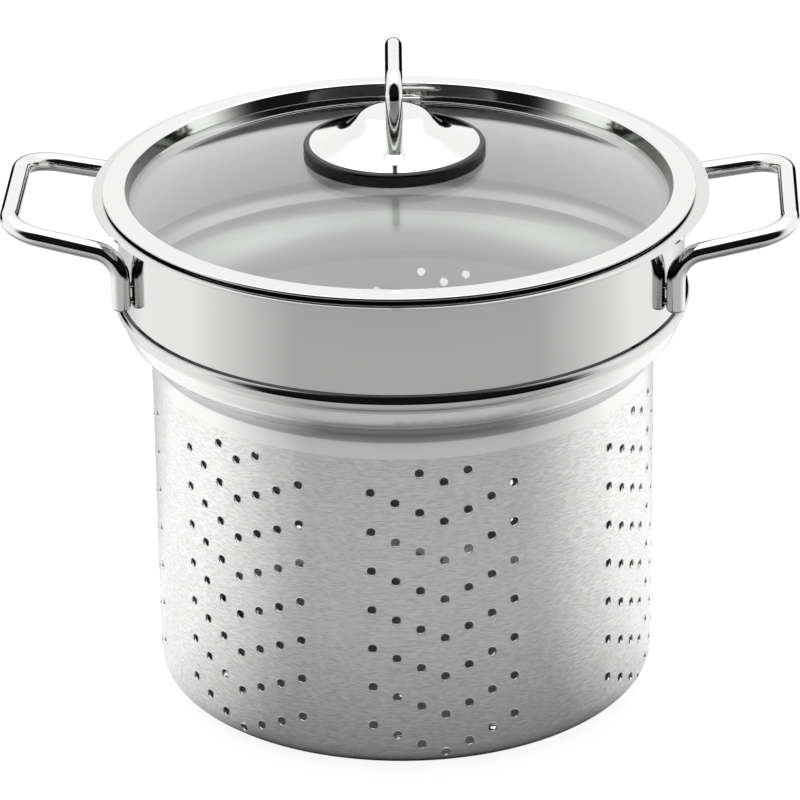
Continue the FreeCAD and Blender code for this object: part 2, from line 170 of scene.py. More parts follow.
@dataclass(frozen=True)
class BasketSteel:
    """Stainless steel sheet, deep drawn: its wall is brushed round, its shoulder satin, its band polished.

    Brushing blurs what the wall mirrors up and down, and leaves short level streaks. The polished band
    mirrors sharply. Painted shade darkens the lower inside, the base's upper face, the corner over the bead
    and a belt at the shoulder's foot. Heights and lengths are in millimetres. A shade is the share of the
    colour that is left.
    """

    brushed_colour: str = "fdfdfc"
    polished_colour: str = "d9d9d8"
    # The inside is drawn pale and matt, as pickled steel looks. Deep down it is darkened with painted shade,
    # so that the holes look dark from outside. Its ledges are a little more metallic
    inner_colour: str = "fbfbfb"
    deep_colour: str = "8f8f8e"
    deep_top: float = 113.0
    deep_fade: float = 26.0
    base_top: float = 20.0
    base_fade: float = 10.0
    inner_metal: float = 0.0
    ledge_metal: float = 0.5
    inner_facing: tuple[float, float] = (-0.4, -0.1)
    base_facing: tuple[float, float] = (0.1, 0.3)
    ledge_facing: tuple[float, float] = (0.15, 0.45)
    brushed_roughness: float = 0.22
    satin_roughness: float = 0.05
    satin_shade: float = 0.87
    polished_roughness: float = 0.07
    inner_roughness: float = 0.45
    streak_roughness: float = 0.16
    streak_depth: float = 0.012
    streak_shade: float = 0.66
    inner_streak_shade: float = 0.97
    streak_limits: tuple[float, float] = (0.30, 0.68)
    anisotropy: float = 0.75
    quarter_turn: float = 0.25
    brush_top: float = 144.5
    brush_fade: float = 0.5
    # A belt at the shoulder's foot, darkened by painted shade
    belt_foot: float = 152.1
    belt_top: float = 160.0
    belt_fade: float = 0.7
    belt_shade: float = 0.56
    polish_foot: float = 171.5
    polish_fade: float = 0.6
    # The corner over the bead, darkened by painted shade
    corner_foot: float = 176.0
    corner_top: float = 180.2
    corner_fade: float = 0.2
    corner_shade: float = 0.06
    corner_facing: tuple[float, float] = (0.5, 0.7)
    brush: Grain = Grain(length=3.4, width=0.32)

    def make(self) -> bpy.types.Material:
        """The finished material."""
        material, tree, output = new_material("stainless_steel_brushed_and_polished")
        place = add(tree, "ShaderNodeTexCoord").outputs["Object"]
        height = add(tree, "ShaderNodeSeparateXYZ", {0: place}).outputs[2]
        brush_end, brush_soft = self.brush_top * MM, self.brush_fade * MM
        brushed = ramp(tree, height, brush_end - brush_soft, brush_end + brush_soft, 1.0, 0.0)
        polish = self.polish_foot * MM
        polished = ramp(tree, height, polish, polish + self.polish_fade * MM, 0.0, 1.0)
        inner = self.faces_axis(tree)
        outside = math_node(tree, "SUBTRACT", 1.0, inner)
        shiny = math_node(tree, "MULTIPLY", polished, outside)
        # Painted shade on the lower inside and the base's upper face
        deep = self.deep_inside(tree, inner, height)
        streaks = self.brush.output(tree)
        bump = {
            "Height": math_node(tree, "MULTIPLY", streaks, brushed),
            "Distance": self.streak_depth * MM,
            "Strength": 1.0,
        }
        pickled = math_node(tree, "MULTIPLY", inner, math_node(tree, "SUBTRACT", 1.0, deep))
        lining_metal = ramp(tree, upward(tree), *self.ledge_facing, self.inner_metal, self.ledge_metal)
        # Painted shade on the bead's corner and on the belt at the shoulder's foot
        darker = self.dark_places(tree, outside, height)
        tone = self.tone(tree, inner, deep, self.shade(tree, brushed, inner, streaks))
        clean = {0: shiny, 6: tone, 7: linear(self.polished_colour)}
        shaded = {0: add(tree, "ShaderNodeMix", clean, data_type="RGBA").outputs[2], 3: darker}
        values = {
            "Base Color": add(tree, "ShaderNodeVectorMath", shaded, operation="SCALE").outputs[0],
            "Metallic": ramp(tree, pickled, 0.0, 1.0, 1.0, lining_metal),
            "Roughness": self.roughness(tree, brushed, inner, shiny, streaks),
            "Anisotropic": self.anisotropy,
            "Anisotropic Rotation": self.quarter_turn,
            "Normal": add(tree, "ShaderNodeBump", bump).outputs[0],
            "Tangent": add(tree, "ShaderNodeTangent", direction_type="RADIAL", axis="Z").outputs[0],
        }
        shader = add(tree, "ShaderNodeBsdfPrincipled", values)
        tree.links.new(shader.outputs[0], output.inputs[0])
        return material

    def roughness(
        self,
        tree: bpy.types.NodeTree,
        brushed: bpy.types.NodeSocket,
        inner: bpy.types.NodeSocket,
        shiny: bpy.types.NodeSocket,
        streaks: bpy.types.NodeSocket,
    ) -> bpy.types.NodeSocket:
        """The roughness of each zone, which changes with the streaks where the sheet is brushed."""
        wall = ramp(tree, brushed, 0.0, 1.0, self.satin_roughness, self.brushed_roughness)
        inside = ramp(tree, inner, 0.0, 1.0, wall, self.inner_roughness)
        plain = ramp(tree, shiny, 0.0, 1.0, inside, self.polished_roughness)
        spread = math_node(tree, "MULTIPLY", brushed, self.streak_roughness)
        change = math_node(tree, "MULTIPLY", math_node(tree, "SUBTRACT", streaks, 0.5), spread)
        return math_node(tree, "ADD", plain, change)

    def shade(
        self,
        tree: bpy.types.NodeTree,
        brushed: bpy.types.NodeSocket,
        inner: bpy.types.NodeSocket,
        streaks: bpy.types.NodeSocket,
    ) -> bpy.types.NodeSocket:
        """The shade of the streaks where the sheet is brushed, and of the satin finish over them."""
        darkest = ramp(tree, inner, 0.0, 1.0, self.streak_shade, self.inner_streak_shade)
        streaked = ramp(tree, streaks, *self.streak_limits, darkest, 1.0)
        return ramp(tree, brushed, 0.0, 1.0, self.satin_shade, streaked)

    def tone(
        self,
        tree: bpy.types.NodeTree,
        inner: bpy.types.NodeSocket,
        deep: bpy.types.NodeSocket,
        shade: bpy.types.NodeSocket,
    ) -> bpy.types.NodeSocket:
        """The colour of the unpolished sheet, outside and inside, with its streak shade and the painted shade
        deep inside.
        """
        tones = {0: deep, 6: linear(self.inner_colour), 7: linear(self.deep_colour)}
        lining = add(tree, "ShaderNodeMix", tones, data_type="RGBA").outputs[2]
        sheet = {0: math_node(tree, "MAXIMUM", inner, deep), 6: linear(self.brushed_colour), 7: lining}
        base = add(tree, "ShaderNodeMix", sheet, data_type="RGBA").outputs[2]
        return add(tree, "ShaderNodeVectorMath", {0: base, 3: shade}, operation="SCALE").outputs[0]

    def faces_axis(self, tree: bpy.types.NodeTree) -> bpy.types.NodeSocket:
        """1 where the sheet faces the basket's axis, on its inner side, and 0 elsewhere."""
        geometry = add(tree, "ShaderNodeNewGeometry").outputs
        level = {0: geometry["Position"], 1: (1, 1, 0)}
        flat = add(tree, "ShaderNodeVectorMath", level, operation="MULTIPLY").outputs[0]
        outward = add(tree, "ShaderNodeVectorMath", {0: flat}, operation="NORMALIZE").outputs[0]
        values = {0: geometry["True Normal"], 1: outward}
        facing = add(tree, "ShaderNodeVectorMath", values, operation="DOT_PRODUCT").outputs["Value"]
        return ramp(tree, facing, *self.inner_facing, 1.0, 0.0)

    def deep_inside(
        self,
        tree: bpy.types.NodeTree,
        inner: bpy.types.NodeSocket,
        height: bpy.types.NodeSocket,
    ) -> bpy.types.NodeSocket:
        """1 where painted shade darkens the sheet: on the lower part of the inside and on the upper face of
        the base, and 0 elsewhere.
        """
        low = ramp(tree, height, (self.deep_top - self.deep_fade) * MM, self.deep_top * MM, 1.0, 0.0)
        wall = math_node(tree, "MULTIPLY", inner, low)
        base_end = self.base_top * MM
        base = ramp(tree, height, base_end, base_end + self.base_fade * MM, 1.0, 0.0)
        floor = math_node(tree, "MULTIPLY", ramp(tree, upward(tree), *self.base_facing, 0.0, 1.0), base)
        return math_node(tree, "MAXIMUM", wall, floor)

    def dark_places(
        self,
        tree: bpy.types.NodeTree,
        outside: bpy.types.NodeSocket,
        height: bpy.types.NodeSocket,
    ) -> bpy.types.NodeSocket:
        """Painted shade on two places outside, set to match the photo: the bead's corner and the belt."""
        corner = ramp(tree, self.bead_corner(tree, height), 0.0, 1.0, 1.0, self.corner_shade)
        belt = math_node(tree, "MULTIPLY", self.shoulder_belt(tree, height), outside)
        return math_node(tree, "MULTIPLY", corner, ramp(tree, belt, 0.0, 1.0, 1.0, self.belt_shade))

    def shoulder_belt(self, tree: bpy.types.NodeTree, height: bpy.types.NodeSocket) -> bpy.types.NodeSocket:
        """1 in the belt at the shoulder's foot, where painted shade darkens the sheet."""
        foot, top, soft = self.belt_foot * MM, self.belt_top * MM, self.belt_fade * MM
        above = ramp(tree, height, foot - soft, foot + soft, 0.0, 1.0)
        below = ramp(tree, height, top - soft, top + soft, 1.0, 0.0)
        return math_node(tree, "MULTIPLY", above, below)

    def bead_corner(self, tree: bpy.types.NodeTree, height: bpy.types.NodeSocket) -> bpy.types.NodeSocket:
        """1 in the corner over the bead, where painted shade hides the bright roof that it would mirror."""
        facing_up = ramp(tree, upward(tree), *self.corner_facing, 0.0, 1.0)
        foot, top, soft = self.corner_foot * MM, self.corner_top * MM, self.corner_fade * MM
        over = ramp(tree, height, foot, foot + soft, 0.0, 1.0)
        under = ramp(tree, height, top - soft, top, 1.0, 0.0)
        return math_node(tree, "MULTIPLY", facing_up, math_node(tree, "MULTIPLY", over, under))


@dataclass(frozen=True)
class PolishedSteel:
    """Stainless steel, buffed to a mirror, with the faint wheel marks that buffing leaves.

    Where the surface faces down, painted shade leaves only a share of the colour, the under shade. It is
    matched to the photo and isn't a known finish.
    """

    name: str
    colour: str = "e8e8e7"
    roughness: float = 0.05
    wear: float = 0.05
    wear_limits: tuple[float, float] = (0.35, 0.85)
    marks: Grain = Grain(length=14.0, width=1.2)
    mark_depth: float = 0.0008
    mark_shade: float = 0.97
    mark_limits: tuple[float, float] = (0.2, 0.8)
    under_shade: float = 1.0
    under_facing: tuple[float, float] = (-0.5, -0.05)

    def make(self) -> bpy.types.Material:
        """The finished material."""
        material, tree, output = new_material(self.name)
        marks = self.marks.output(tree)
        # Painted shade darkens the colour where the surface faces down
        reached = ramp(tree, upward(tree), *self.under_facing, self.under_shade, 1.0)
        marked = ramp(tree, marks, *self.mark_limits, self.mark_shade, 1.0)
        toned = {0: linear(self.colour)[:3], 3: math_node(tree, "MULTIPLY", reached, marked)}
        bump = {"Height": marks, "Distance": self.mark_depth * MM, "Strength": 1.0}
        worn = self.roughness + self.wear
        values = {
            "Base Color": add(tree, "ShaderNodeVectorMath", toned, operation="SCALE").outputs[0],
            "Metallic": 1.0,
            "Roughness": ramp(tree, marks, *self.wear_limits, self.roughness, worn),
            "Normal": add(tree, "ShaderNodeBump", bump).outputs[0],
        }
        shader = add(tree, "ShaderNodeBsdfPrincipled", values)
        tree.links.new(shader.outputs[0], output.inputs[0])
        return material


@dataclass(frozen=True)
class ClearGlass:
    """Tempered soda-lime glass, pressed to a dome: clear, with a faint green grey in its depth.

    Rays from lamps, and those that a matt surface under the lid sends up, pass straight through it,
    so that the basket under it is lit.
    """

    colour: str = "fdfefd"
    ior: float = 1.52

    def make(self) -> bpy.types.Material:
        """The finished material."""
        material, tree, output = new_material("tempered_glass_pressed")
        values = {
            "Base Color": linear(self.colour),
            "Roughness": 0.0,
            "IOR": self.ior,
            "Transmission Weight": 1.0,
        }
        glass = add(tree, "ShaderNodeBsdfPrincipled", values)
        clear = add(tree, "ShaderNodeBsdfTransparent", {0: linear(self.colour)})
        rays = add(tree, "ShaderNodeLightPath").outputs
        seen = math_node(tree, "MAXIMUM", rays["Is Camera Ray"], rays["Is Singular Ray"])
        sides = {0: seen, 1: clear.outputs[0], 2: glass.outputs[0]}
        mix = add(tree, "ShaderNodeMixShader", sides)
        tree.links.new(mix.outputs[0], output.inputs[0])
        return material


@dataclass(frozen=True)
class BlackMoulding:
    """Phenolic moulding compound, pressed and buffed: deep black with a soft gloss and fine flow marks."""

    colour: str = "070708"
    roughness: float = 0.12
    wear: float = 0.08
    wear_limits: tuple[float, float] = (0.3, 0.8)
    ior: float = 1.55
    gloss: float = 0.3
    flow: Grain = Grain(length=9.0, width=1.6, centre_x=-2.4)
    flow_depth: float = 0.0015

    def make(self) -> bpy.types.Material:
        """The finished material."""
        material, tree, output = new_material("phenolic_black_moulded")
        flow = self.flow.output(tree)
        bump = {"Height": flow, "Distance": self.flow_depth * MM, "Strength": 1.0}
        worn = self.roughness + self.wear
        values = {
            "Base Color": linear(self.colour),
            "Roughness": ramp(tree, flow, *self.wear_limits, self.roughness, worn),
            "IOR": self.ior,
            "Specular IOR Level": self.gloss,
            "Normal": add(tree, "ShaderNodeBump", bump).outputs[0],
        }
        shader = add(tree, "ShaderNodeBsdfPrincipled", values)
        tree.links.new(shader.outputs[0], output.inputs[0])
        return material


@dataclass(frozen=True)
class SoftGasket:
    """Silicone rubber, moulded: pale grey, matt and a little milky."""

    colour: str = "c9c9c4"
    shade: str = "b4b4af"
    cloud_size: float = 2.5
    cloud_detail: float = 4.0
    cloud_limits: tuple[float, float] = (0.3, 0.7)
    roughness: tuple[float, float] = (0.5, 0.62)
    skin_depth: float = 0.01

    def make(self) -> bpy.types.Material:
        """The finished material."""
        material, tree, output = new_material("silicone_rubber_moulded")
        place = add(tree, "ShaderNodeTexCoord").outputs["Object"]
        cloud = {"Vector": place, "Scale": 1 / (self.cloud_size * MM), "Detail": self.cloud_detail}
        noise = add(tree, "ShaderNodeTexNoise", cloud).outputs[0]
        tones = {0: noise, 6: linear(self.colour), 7: linear(self.shade)}
        bump = {"Height": noise, "Distance": self.skin_depth * MM, "Strength": 1.0}
        values = {
            "Base Color": add(tree, "ShaderNodeMix", tones, data_type="RGBA").outputs[2],
            "Roughness": ramp(tree, noise, *self.cloud_limits, *self.roughness),
            "Normal": add(tree, "ShaderNodeBump", bump).outputs[0],
        }
        shader = add(tree, "ShaderNodeBsdfPrincipled", values)
        tree.links.new(shader.outputs[0], output.inputs[0])
        return material


@dataclass(frozen=True)
class StudioFloor:
    """A white table: the camera sees it white with a faint shadow, and steel mirrors its painted light and
    shade.

    For steel its matt colour is painted: grey in front, darker near the basket with a painted shadow, and
    dark beyond its front and back edges, while a painted glow makes it bright at the sides. Lengths are in
    metres. A "forward" value is the share of the way to a place on the table that leads to the front: 1
    straight in front, 0 beside the basket and -1 straight behind it.
    """

    shadow_share: float = 0.12
    white_light: float = 1.04
    matt_colour: str = "b9b9b9"
    # Strength of the painted glow at the sides, which is no lamp
    side_light: float = 0.57
    side_forward: float = 0.72
    rear_share: float = 0.25
    rear_forward: tuple[float, float] = (-0.87, -0.5)
    front_azimuth: float = 7.5
    front_forward: tuple[float, float] = (0.25, 0.55)
    front_reach: float = 0.60
    front_fade: float = 0.22
    back_forward: tuple[float, float] = (-0.75, -0.60)
    back_reach: float = 0.58
    back_fade: float = 0.12
    # Painted shadow on the table near the basket, as steel mirrors it
    near_light: float = 0.72
    near_forward: tuple[float, float] = (0.35, 0.8)
    near_reach: float = 0.10
    near_fade: float = 0.16

    def make(self) -> bpy.types.Material:
        """The finished material."""
        material, tree, output = new_material("studio_table_white")
        # Painted light for steel to mirror: a glow at the sides, and matt colour darkened by painted shade
        # near the basket and past the table's edges
        side, lit = self.zones(tree)
        glow = math_node(tree, "MULTIPLY", math_node(tree, "MULTIPLY", side, lit), self.side_light)
        bright = add(tree, "ShaderNodeEmission", {0: linear(WHITE), 1: glow})
        matt_values = {0: linear(self.matt_colour)[:3], 3: lit}
        colour = add(tree, "ShaderNodeVectorMath", matt_values, operation="SCALE").outputs[0]
        matt = add(tree, "ShaderNodeBsdfDiffuse", {0: colour})
        seen_in_steel = add(tree, "ShaderNodeAddShader", {0: bright.outputs[0], 1: matt.outputs[0]})
        white = add(tree, "ShaderNodeEmission", {0: linear(WHITE), 1: self.white_light})
        shadow = add(tree, "ShaderNodeBsdfDiffuse", {0: linear(WHITE)})
        share = {0: self.shadow_share, 1: white.outputs[0], 2: shadow.outputs[0]}
        for_camera = add(tree, "ShaderNodeMixShader", share)
        rays = add(tree, "ShaderNodeLightPath").outputs
        sides = {0: rays["Is Camera Ray"], 1: seen_in_steel.outputs[0], 2: for_camera.outputs[0]}
        mix = add(tree, "ShaderNodeMixShader", sides)
        tree.links.new(mix.outputs[0], output.inputs[0])
        return material

    def zones(self, tree: bpy.types.NodeTree) -> tuple[bpy.types.NodeSocket, bpy.types.NodeSocket]:
        """How much painted glow each place gets from the side, and the painted brightness of the matt colour
        there.
        """
        place = add(tree, "ShaderNodeTexCoord").outputs["Object"]
        away = add(tree, "ShaderNodeVectorMath", {0: place}, operation="LENGTH").outputs["Value"]
        back = add(tree, "ShaderNodeSeparateXYZ", {0: place}).outputs[1]
        turn = math.radians(self.front_azimuth)
        level = add(tree, "ShaderNodeVectorMath", {0: place}, operation="NORMALIZE").outputs[0]
        towards = {0: level, 1: (math.sin(turn), -math.cos(turn), 0)}
        forward = add(tree, "ShaderNodeVectorMath", towards, operation="DOT_PRODUCT").outputs["Value"]
        to_side = math_node(tree, "SUBTRACT", self.side_forward, forward)
        share = math_node(tree, "DIVIDE", to_side, self.side_forward)
        clamped = add(tree, "ShaderNodeClamp", {0: share}).outputs[0]
        rear = ramp(tree, forward, *self.rear_forward, self.rear_share, 1.0)
        side = math_node(tree, "MULTIPLY", clamped, rear)
        beyond = ramp(tree, away, self.front_reach, self.front_reach + self.front_fade, 0.0, 1.0)
        in_front = math_node(tree, "MULTIPLY", beyond, ramp(tree, forward, *self.front_forward, 0.0, 1.0))
        past_back = ramp(tree, back, self.back_reach, self.back_reach + self.back_fade, 0.0, 1.0)
        behind = math_node(tree, "MULTIPLY", past_back, ramp(tree, forward, *self.back_forward, 1.0, 0.0))
        spread = math_node(tree, "SUBTRACT", 1.0, math_node(tree, "MAXIMUM", in_front, behind))
        near_light = ramp(tree, forward, *self.near_forward, 1.0, self.near_light)
        near = ramp(tree, away, self.near_reach, self.near_reach + self.near_fade, near_light, 1.0)
        return side, math_node(tree, "MULTIPLY", spread, near)


def dress(node: str, material: bpy.types.Material) -> None:
    """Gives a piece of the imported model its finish.

    Args:
        node: the piece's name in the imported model.
        material: its finish.
    """
    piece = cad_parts[node]
    if not piece.material_slots:
        piece.data.materials.append(material)
    for slot in piece.material_slots:
        slot.material = material
    LOG.info("%s: %s", node, material.name)


def join(body: str, piece: bpy.types.Object) -> bpy.types.Object:
    """Puts a new piece on a body and logs how many faces it has."""
    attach(piece, body)
    LOG.info("%s: %d faces", piece.name, len(piece.data.polygons))
    return piece


class PunchedEdges:
    """The round walls and rolled lips of a group of punched holes, made by a tree of Geometry Nodes."""

    # The radius of a lip's corners as a share of its width
    CORNER_SHARE = 0.4

    def __init__(self, hole_diameter: float, sheet: float, lip: float, rise: float, segments: int) -> None:
        """Keeps the sizes, in millimetres.

        Args:
            hole_diameter: the clear opening.
            sheet: the sheet's thickness, which the wall of the hole goes through.
            lip: how far the lip reaches round the opening.
            rise: how far the lip stands above the sheet, on both sides.
            segments: flat sides of each round.
        """
        self.hole_diameter = hole_diameter
        self.sheet = sheet
        self.lip = lip
        self.rise = rise
        self.segments = segments

    def tree(self, material: bpy.types.Material) -> bpy.types.NodeTree:
        """A tree that puts a ring of rounded square section into each hole.

        Each point marks the middle of a hole on the sheet's outer face, and its "outward" attribute
        is the direction that the hole faces.
        """
        tree = bpy.data.node_groups.new("punched_edges", "GeometryNodeTree")
        face = tree.interface
        face.new_socket("Geometry", in_out="INPUT", socket_type="NodeSocketGeometry")
        for name in ("Hole Radius", "Sheet", "Lip", "Rise"):
            face.new_socket(name, in_out="INPUT", socket_type="NodeSocketFloat")
        face.new_socket("Segments", in_out="INPUT", socket_type="NodeSocketInt")
        face.new_socket("Geometry", in_out="OUTPUT", socket_type="NodeSocketGeometry")
        given = add(tree, "NodeGroupInput").outputs
        middle = math_node(tree, "ADD", given["Hole Radius"], math_node(tree, "MULTIPLY", given["Lip"], 0.5))
        circle = {"Resolution": given["Segments"], "Radius": middle}
        path = add(tree, "GeometryNodeCurvePrimitiveCircle", circle)
        depth = math_node(tree, "ADD", given["Sheet"], math_node(tree, "MULTIPLY", given["Rise"], 2.0))
        square = {"Width": given["Lip"], "Height": depth}
        box = add(tree, "GeometryNodeCurvePrimitiveQuadrilateral", square)
        corner = math_node(tree, "MULTIPLY", given["Lip"], self.CORNER_SHARE)
        rounding = {"Curve": box.outputs[0], "Radius": corner}
        section = add(tree, "GeometryNodeFilletCurve", rounding, mode="POLY")
        ring = add(tree, "GeometryNodeCurveToMesh", {0: path.outputs[0], 1: section.outputs[0]})
        down = math_node(tree, "MULTIPLY", given["Sheet"], -0.5)
        sunk = add(tree, "ShaderNodeCombineXYZ", {2: down}).outputs[0]
        seated = add(tree, "GeometryNodeTransform", {"Geometry": ring.outputs[0], "Translation": sunk})
        smooth = add(tree, "GeometryNodeSetShadeSmooth", {"Geometry": seated.outputs[0]})
        outward = add(tree, "GeometryNodeInputNamedAttribute", {"Name": "outward"}, data_type="FLOAT_VECTOR")
        turned = add(tree, "FunctionNodeAlignRotationToVector", {"Vector": outward.outputs[0]}, axis="Z")
        placed = {"Points": given["Geometry"], "Instance": smooth.outputs[0], "Rotation": turned.outputs[0]}
        rings = add(tree, "GeometryNodeInstanceOnPoints", placed)
        real = add(tree, "GeometryNodeRealizeInstances", {0: rings.outputs[0]})
        finish = add(tree, "GeometryNodeSetMaterial", {"Geometry": real.outputs[0], "Material": material})
        add(tree, "NodeGroupOutput", {"Geometry": finish.outputs[0]})
        return tree

    def make(
        self,
        name: str,
        places: list[tuple[Vector, Vector]],
        material: bpy.types.Material,
    ) -> bpy.types.Object:
        """A plain mesh of all the lips.

        Args:
            name: the piece's name.
            places: each hole's middle and the direction that it faces, in metres.
            material: the lips' finish.

        Returns:
            The piece, with no modifier left on it.
        """
        points = bpy.data.meshes.new(name + "_places")
        points.from_pydata([place for place, _ in places], [], [])
        outward = points.attributes.new("outward", "FLOAT_VECTOR", "POINT")
        for item, (_, direction) in zip(outward.data, places):
            item.vector = direction
        piece = bpy.data.objects.new(name, points)
        bpy.context.scene.collection.objects.link(piece)
        sizes = {
            "Hole Radius": self.hole_diameter / 2 * MM,
            "Sheet": self.sheet * MM,
            "Lip": self.lip * MM,
            "Rise": self.rise * MM,
            "Segments": self.segments,
        }
        become_mesh(piece, self.tree(material), sizes)
        return piece


@dataclass(frozen=True)
class Corner:
    """A corner of a section: distance from the axis, height and the radius that rounds it, in millimetres."""

    radius: float
    height: float
    rounding: float = 0.0


def other_side(path: list[Corner], thickness: float) -> list[Corner]:
    """The path that runs a sheet's thickness to the left of the given one."""
    moved = []
    for index, corner in enumerate(path):
        ends = (path[max(index - 1, 0)], corner, path[min(index + 1, len(path) - 1)])
        spots = [Vector((end.radius, end.height)) for end in ends]
        runs = [(b - a).normalized() for a, b in zip(spots, spots[1:]) if (b - a).length > 0]
        sides = [Vector((-run.y, run.x)) for run in runs]
        mitre = (sides[0] + sides[-1]) / (1 + sides[0].dot(sides[-1]))
        place = spots[1] + mitre * thickness
        moved.append(Corner(place.x, place.y, max(corner.rounding - thickness, 0)))
    return moved


def steadied(corners: list[Corner], margin: float = 0.04) -> list[Corner]:
    """Puts a plain point on either side of each square rounded corner, so that flats stay flat."""
    result = []
    for index, corner in enumerate(corners):
        if corner.rounding == 0:
            result.append(corner)
            continue
        here = Vector((corner.radius, corner.height))
        around = []
        for near in (corners[index - 1], corners[(index + 1) % len(corners)]):
            run = (Vector((near.radius, near.height)) - here).normalized()
            spot = here + run * (corner.rounding + margin)
            around.append(Corner(spot.x, spot.y))
        result += [around[0], corner, around[1]]
    return result


class RolledStrip:
    """A strip rolled to a closed ring of one section, made by a tree of Geometry Nodes."""

    # Edges that turn by more degrees than this stay sharp
    CREASE_ANGLE = 35

    def __init__(self, section: list[Corner], base_radius: float, segments: int, corner_steps: int) -> None:
        """Keeps the sizes.

        Args:
            section: the closed section, in millimetres, anticlockwise with the axis at the left.
            base_radius: the radius of the round that the section is carried along, in millimetres.
            segments: flat sides of the round.
            corner_steps: points of each rounded corner.
        """
        self.section = section
        self.base_radius = base_radius
        self.segments = segments
        self.corner_steps = corner_steps

    def tree(self, material: bpy.types.Material) -> bpy.types.NodeTree:
        """A tree that rounds the section's corners and carries it round the axis."""
        tree = bpy.data.node_groups.new("rolled_strip", "GeometryNodeTree")
        face = tree.interface
        face.new_socket("Geometry", in_out="INPUT", socket_type="NodeSocketGeometry")
        face.new_socket("Base Radius", in_out="INPUT", socket_type="NodeSocketFloat")
        face.new_socket("Segments", in_out="INPUT", socket_type="NodeSocketInt")
        face.new_socket("Corner Steps", in_out="INPUT", socket_type="NodeSocketInt")
        face.new_socket("Geometry", in_out="OUTPUT", socket_type="NodeSocketGeometry")
        given = add(tree, "NodeGroupInput").outputs
        outline = add(tree, "GeometryNodeMeshToCurve", {0: given["Geometry"]}).outputs[0]
        rounding = add(tree, "GeometryNodeInputNamedAttribute", {"Name": "rounding"}, data_type="FLOAT")
        soft = {"Curve": outline, "Count": given["Corner Steps"], "Radius": rounding.outputs[0]}
        section = add(tree, "GeometryNodeFilletCurve", soft, mode="POLY")
        circle = {"Resolution": given["Segments"], "Radius": given["Base Radius"]}
        path = add(tree, "GeometryNodeCurvePrimitiveCircle", circle)
        ring = add(tree, "GeometryNodeCurveToMesh", {0: path.outputs[0], 1: section.outputs[0]})
        smooth = add(tree, "GeometryNodeSetShadeSmooth", {"Geometry": ring.outputs[0]})
        angle = add(tree, "GeometryNodeInputMeshEdgeAngle").outputs[0]
        sharp = math_node(tree, "GREATER_THAN", angle, math.radians(self.CREASE_ANGLE))
        creased = {"Geometry": smooth.outputs[0], "Selection": sharp, "Shade Smooth": False}
        shaded = add(tree, "GeometryNodeSetShadeSmooth", creased, domain="EDGE")
        real = add(tree, "GeometryNodeRealizeInstances", {0: shaded.outputs[0]})
        finish = add(tree, "GeometryNodeSetMaterial", {"Geometry": real.outputs[0], "Material": material})
        add(tree, "NodeGroupOutput", {"Geometry": finish.outputs[0]})
        return tree

    def make(self, name: str, centre_x: float, material: bpy.types.Material) -> bpy.types.Object:
        """A plain mesh of the ring, with its axis at centre_x, in millimetres."""
        # The tree carries the section's Y downwards, which turns its order round
        corners = self.section[::-1]
        outline = bpy.data.meshes.new(name + "_section")
        points = [((c.radius - self.base_radius) * MM, -c.height * MM, 0) for c in corners]
        edges = [(index, (index + 1) % len(corners)) for index in range(len(corners))]
        outline.from_pydata(points, edges, [])
        rounding = outline.attributes.new("rounding", "FLOAT", "POINT")
        for item, corner in zip(rounding.data, corners):
            item.value = corner.rounding * MM
        piece = bpy.data.objects.new(name, outline)
        bpy.context.scene.collection.objects.link(piece)
        sizes = {
            "Base Radius": self.base_radius * MM,
            "Segments": self.segments,
            "Corner Steps": self.corner_steps,
        }
        become_mesh(piece, self.tree(material), sizes)
        piece.data.transform(Matrix.Translation((centre_x * MM, 0, 0)))
        return piece


def become_mesh(piece: bpy.types.Object, tree: bpy.types.NodeTree, sizes: dict[str, float]) -> None:
    """Runs a tree of Geometry Nodes on a piece and keeps only the mesh that comes out.

    Args:
        piece: the piece, which holds what the tree starts from.
        tree: the tree.
        sizes: for each named input, its value.
    """
    modifier = piece.modifiers.new(tree.name, "NODES")
    modifier.node_group = tree
    for item in tree.interface.items_tree:
        if item.in_out == "INPUT" and item.name in sizes:
            modifier[item.identifier] = sizes[item.name]
    found = piece.evaluated_get(bpy.context.evaluated_depsgraph_get())
    mesh = bpy.data.meshes.new_from_object(found)
    piece.modifiers.clear()
    piece.data = mesh
    mesh.name = piece.name


